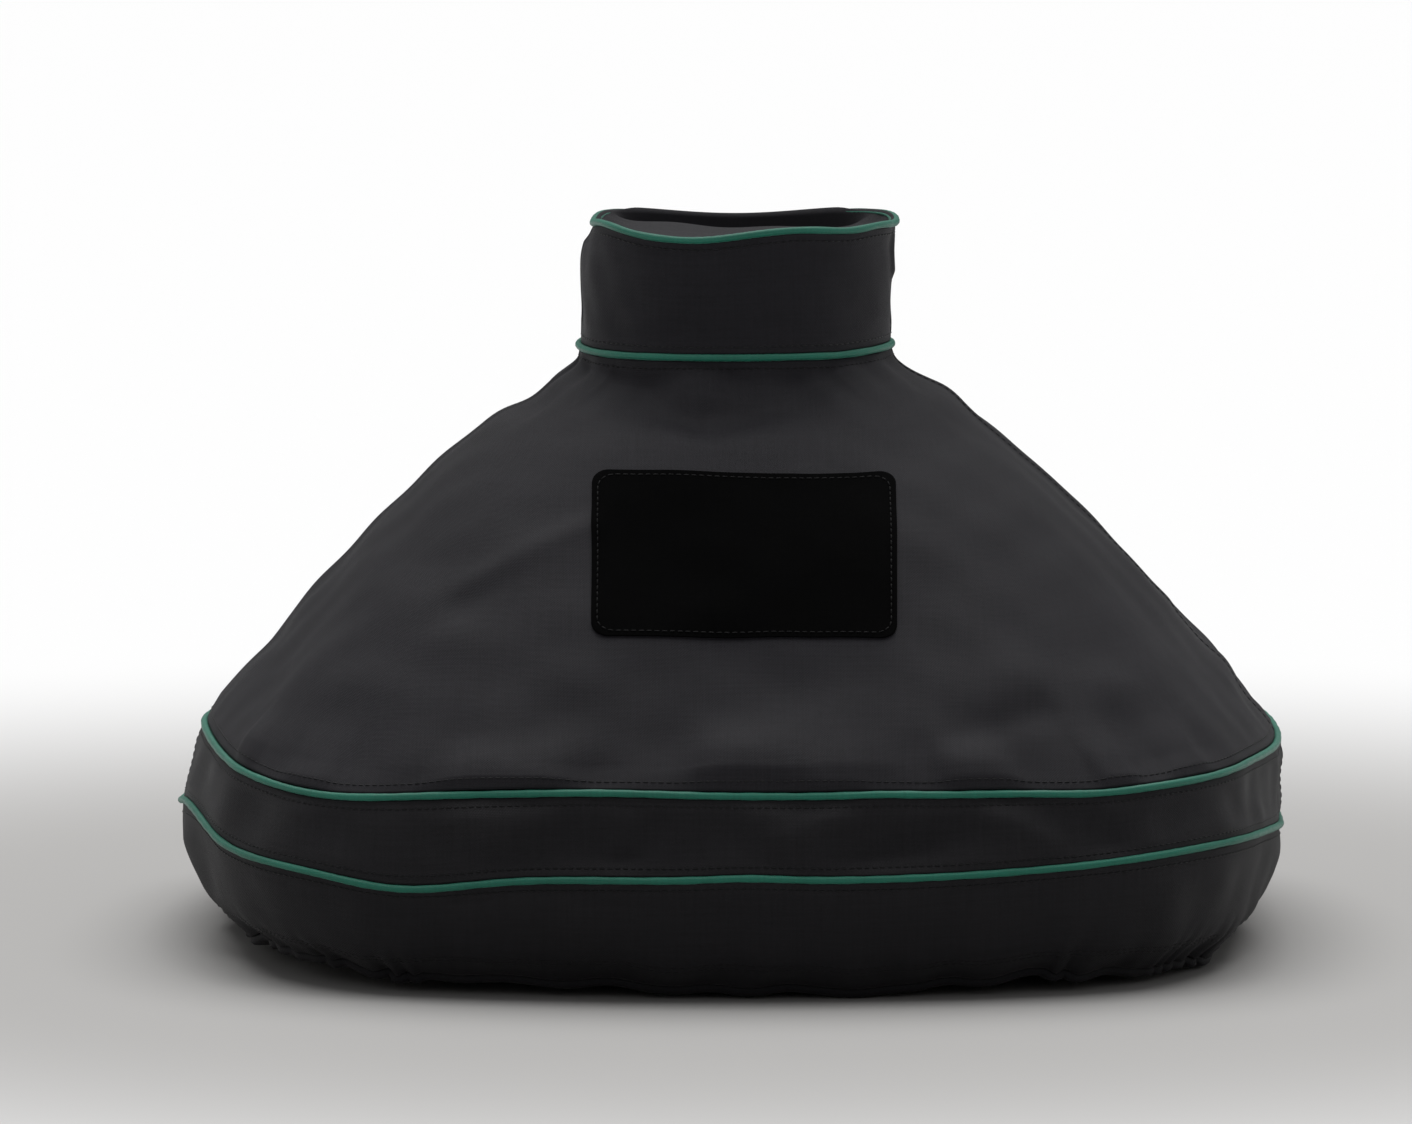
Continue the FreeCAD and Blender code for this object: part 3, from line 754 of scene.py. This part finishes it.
# Its width, lowest and highest height, middle, corner radius, length up the slope, and cut length.
PATCH_WIDE, PATCH_LOW, PATCH_HIGH, PATCH_X, PATCH_CORNER = 0.177, 0.203, 0.2912, 0.005, 0.010
PATCH_SLANT, PATCH_CUT = 0.128, 0.130
PATCH_THICK, PATCH_LIFT, PATCH_EDGE = 0.0010, 0.0014, 0.0004


def front_bearing(x, height):
    """Bearing of the point of the front outline at this x, found on a dense outline of each height."""
    dense = np.linspace(*FRONT, 1441)
    rows = []
    for z, wanted in zip(height, x):
        half, corner = smooth_level(np.array([z]), 1), smooth_level(np.array([z]), 2)
        rows.append(np.interp(wanted, outline(half, corner, dense)[0], dense))
    return np.array(rows)


def patch_grid(rows, columns, inset=0.0):
    """Rounded rectangle as rows across it, each shortened by the corner's quarter circle near the top and
    bottom. The rows are closest together there."""
    share = 0.5 - 0.5 * np.cos(np.linspace(0, math.pi, rows))
    up = PATCH_SLANT * share
    short = np.maximum(PATCH_CORNER - np.minimum(up, PATCH_SLANT - up), 0)
    half = PATCH_WIDE / 2 - PATCH_CORNER + np.sqrt(np.maximum(PATCH_CORNER**2 - short**2, 0)) - inset
    height = PATCH_LOW + (PATCH_HIGH - PATCH_LOW) * (0.5 + (share - 0.5) * (1 - 2 * inset / PATCH_SLANT))
    x = PATCH_X + half[:, None] * np.linspace(-1, 1, columns)[None, :]
    return front_bearing(x, height), height[:, None]


patch_bearing, patch_height = patch_grid(48, 70)
patch_cloth = woven("patch_cloth", shade=(0.0013, 0.0013, 0.0014), dusty=(0.006, 0.006, 0.006),
                    pitch=0.0005, rough=0.75, sheen=0.0, gloss=0.02, relief_depth=0.0001)
points = cloth(patch_bearing, patch_height, PATCH_LIFT)
patch = grid_mesh("front_patch_cloth", points, lengths(points))
thicken(patch, PATCH_THICK)
bevel = patch.modifiers.new("turned_edge", "BEVEL")
bevel.width, bevel.segments = PATCH_EDGE, 2
bevel.limit_method, bevel.angle_limit = "ANGLE", math.radians(50)
fasten(patch, "patch_cloth", patch_cloth, "front_patch")

# --------------------------------------------------------------------------------------------------
# Rows of topstitching.
# Black bonded polyester thread, in lockstitch. Rows run beside each piped seam and both side seams, along
# the hem casing and round the patch, and hold the turned allowances down.

# The length that a stitch takes, the thread's radius, and a row's distance from a piping and a side seam.
STITCH_PITCH, THREAD_RADIUS, ROW_FROM_PIPING, ROW_FROM_SEAM = 0.0045, 0.00038, 0.0065, 0.004
PATCH_ROW_INSET, PATCH_ROW_LIFT = 0.0035, 0.0015
thread = woven("thread", shade=(0.0085, 0.0085, 0.0095), dusty=(0.02, 0.02, 0.02),
               pitch=0.0004, rough=0.42, sheen=0.0, gloss=0.25, relief_depth=0.0001)
patch_thread = woven("patch_thread", shade=(0.0035, 0.0035, 0.0038), dusty=(0.01, 0.01, 0.01),
                     pitch=0.0004, rough=0.42, sheen=0.0, gloss=0.12, relief_depth=0.0001)


def stitch_row(name, bearing, height, stand_off=0.0001, material=thread):
    """Stitches laid end to end along a line on the cloth. Each is a six-sided bar of four rings, narrow
    at its two ends. It follows the line's direction at its middle, and its section is turned to the
    cloth's normal there."""
    bearing, height = np.broadcast_arrays(np.asarray(bearing, float), np.asarray(height, float))
    line, lifted = cloth(bearing, height, stand_off), cloth(bearing, height, stand_off + 0.001)
    run = np.concatenate([[0], np.cumsum(np.linalg.norm(np.diff(line, axis=1), axis=0))])
    count = int(run[-1] / STITCH_PITCH)
    middle = (np.arange(count) + 0.5) * run[-1] / count

    def at(distance, track):
        """The points of a track at these distances along the line."""
        return np.stack([np.interp(distance, run, row) for row in track])

    half = 0.40 * STITCH_PITCH
    start, end = at(middle - half, line), at(middle + half, line)
    along = (end - start) / np.linalg.norm(end - start, axis=0)
    out = at(middle, lifted) - at(middle, line)
    out /= np.linalg.norm(out, axis=0)
    across = np.cross(along, out, axis=0)
    angle = np.arange(6) * math.pi / 3
    reach = np.array([-1.0, -0.62, 0.62, 1.0]) * half
    girth = np.array([0.35, 1.0, 1.0, 0.35]) * THREAD_RADIUS
    sink = np.array([-0.8, 0.0, 0.0, -0.8]) * THREAD_RADIUS
    centre = ((start + end) / 2)[:, :, None, None]
    side = girth[:, None] * np.cos(angle)
    rise = girth[:, None] * np.sin(angle) + sink[:, None]
    points = centre + along[:, :, None, None] * reach[None, None, :, None]
    points = points + across[:, :, None, None] * side[None, None] + out[:, :, None, None] * rise[None, None]
    index = np.arange(count * 24).reshape(count, 4, 6)
    after = np.roll(index, -1, axis=2)
    bars = np.stack([index[:, :-1], after[:, :-1], after[:, 1:], index[:, 1:]], axis=-1).reshape(-1, 4)
    caps = np.concatenate([index[:, 0, ::-1], index[:, 3]])
    mesh = bpy.data.meshes.new(name)
    mesh.from_pydata(np.moveaxis(points, 0, -1).reshape(-1, 3).tolist(), [], bars.tolist() + caps.tolist())
    corner = np.zeros(len(mesh.loops), np.int32)
    mesh.loops.foreach_get("vertex_index", corner)
    distance = np.broadcast_to(middle[:, None, None] + reach[None, :, None], (count, 4, 6)).ravel()
    round_it = np.broadcast_to(angle * THREAD_RADIUS, (count, 4, 6)).ravel()
    uv = np.stack([distance, round_it], axis=-1)
    mesh.uv_layers.new(name="weave").data.foreach_set("uv", uv[corner].ravel())
    mesh.polygons.foreach_set("use_smooth", np.ones(len(mesh.polygons), bool))
    made = bpy.data.objects.new(name, mesh)
    bpy.context.collection.objects.link(made)
    fasten(made, "seam_tape", material)


all_round = spaced(0, 2 * math.pi, 0.002)
level_rows = {
    "collar_top": COLLAR_TOP_Z - ROW_FROM_PIPING,
    "collar_base_upper": COLLAR_BASE_Z + ROW_FROM_PIPING,
    "dome_top": COLLAR_BASE_Z - ROW_FROM_PIPING,
    "dome_foot": BAND_TOP_Z + ROW_FROM_PIPING,
    "band_top": BAND_TOP_Z - ROW_FROM_PIPING,
    "band_foot": BAND_BOTTOM_Z + ROW_FROM_PIPING,
    "skirt_top": BAND_BOTTOM_Z - ROW_FROM_PIPING,
    "hem_upper": 0.0190,
    "hem_lower": 0.0165,
}
for row_name, level in level_rows.items():
    stitch_row(f"{row_name}_stitches", all_round, level)

# Lowest and highest height of each row beside the side seams, and the outline's radius there.
upright_rows = {
    "collar": (COLLAR_LOW, COLLAR_HIGH, COLLAR_RADIUS),
    "dome": (DOME_LOW, DOME_HIGH, 0.22),
    "band": (BAND_BOTTOM_Z + SEAM_GAP, BAND_TOP_Z - SEAM_GAP, 0.71),
    "skirt": (0.022, BAND_BOTTOM_Z - SEAM_GAP, 0.70),
}
for level, (low, high, radius) in upright_rows.items():
    for side_name, middle in (("right", 0.0), ("left", math.pi)):
        beside = middle - ROW_FROM_SEAM / radius
        stitch_row(f"{level}_{side_name}_seam_stitches", beside, np.linspace(low, high, 200))

border_bearing, border_height = patch_grid(60, 80, inset=PATCH_ROW_INSET)
border_height = np.broadcast_to(border_height, border_bearing.shape)


def rim_of(grid):
    """The edge of a grid, once round."""
    return np.concatenate([grid[0], grid[:, -1], grid[-1, ::-1], grid[::-1, 0]])


border = rim_of(border_bearing), rim_of(border_height)
stitch_row("patch_border_stitches", *border, PATCH_ROW_LIFT, patch_thread)

# --------------------------------------------------------------------------------------------------
# Surroundings.
# A plain pale floor, one broad soft light overhead with two faint ones at the sides, and the camera.


def floor_material():
    """Matt pale grey, paler further out."""
    made = bpy.data.materials.new("floor")
    made.use_nodes = True
    nodes, links = made.node_tree.nodes, made.node_tree.links
    shader = nodes["Principled BSDF"]
    place = nodes.new("ShaderNodeTexCoord")
    far = nodes.new("ShaderNodeVectorMath")
    far.operation = "LENGTH"
    links.new(place.outputs["Object"], far.inputs[0])
    fade = nodes.new("ShaderNodeMapRange")
    fade.interpolation_type = "SMOOTHSTEP"
    fade.inputs["From Min"].default_value, fade.inputs["From Max"].default_value = 0.5, 1.4
    links.new(far.outputs["Value"], fade.inputs["Value"])
    tone = nodes.new("ShaderNodeMix")
    tone.data_type = "RGBA"
    tone.inputs[6].default_value = (0.465, 0.458, 0.450, 1)
    tone.inputs[7].default_value = (0.93, 0.93, 0.93, 1)
    links.new(fade.outputs["Result"], tone.inputs["Factor"])
    links.new(tone.outputs[2], shader.inputs["Base Color"])
    shader.inputs["Roughness"].default_value = 0.85
    shader.inputs["Specular IOR Level"].default_value = 0.1
    return made


floor_mesh = bpy.data.meshes.new("floor")
reach = 40.0
corners = [(-reach, -reach, 0), (reach, -reach, 0), (reach, reach, 0), (-reach, reach, 0)]
floor_mesh.from_pydata(corners, [], [(0, 1, 2, 3)])
floor = bpy.data.objects.new("floor", floor_mesh)
bpy.context.collection.objects.link(floor)
floor.data.materials.append(floor_material())

world = bpy.data.worlds.new("studio")
bpy.context.scene.world = world
world.use_nodes = True
nodes, links = world.node_tree.nodes, world.node_tree.links
background = nodes["Background"]
background.inputs["Color"].default_value = (1, 1, 1, 1)
seen = nodes.new("ShaderNodeLightPath")
strength = nodes.new("ShaderNodeMapRange")
strength.inputs["To Min"].default_value, strength.inputs["To Max"].default_value = 0.24, 1.0
links.new(seen.outputs["Is Camera Ray"], strength.inputs["Value"])
links.new(strength.outputs["Result"], background.inputs["Strength"])


def soft_sun(name, lean_right, lean_back, spread, strength):
    """A broad sun, leaning from overhead by two angles in degrees, so that the floor is evenly lit."""
    light = bpy.data.lights.new(name, "SUN")
    light.angle, light.energy = math.radians(spread), strength
    made = bpy.data.objects.new(name, light)
    bpy.context.collection.objects.link(made)
    made.rotation_euler = (math.radians(-lean_back), math.radians(lean_right), 0)


soft_sun("overhead", 0, 14, 70, 2.7)
soft_sun("left_rim", -72, 20, 40, 0.05)
soft_sun("right_rim", 72, 20, 40, 0.05)

# The camera looks down a little from far off, and takes in this width at the point that it is aimed at.
lens_distance, tilt, width_seen = 8.0, math.radians(6.5), 0.842985
aim = (-0.0173, 0.0, 0.22)
camera_data = bpy.data.cameras.new("camera")
camera_data.sensor_width = 36.0
camera_data.lens = camera_data.sensor_width * lens_distance / width_seen
camera_data.clip_end = 100
camera = bpy.data.objects.new("camera", camera_data)
bpy.context.collection.objects.link(camera)
camera.location = (aim[0], -lens_distance * math.cos(tilt), aim[2] + lens_distance * math.sin(tilt))
camera.rotation_euler = (math.pi / 2 - tilt, 0, 0)
bpy.context.scene.camera = camera
bpy.context.scene.view_settings.view_transform = "Standard"
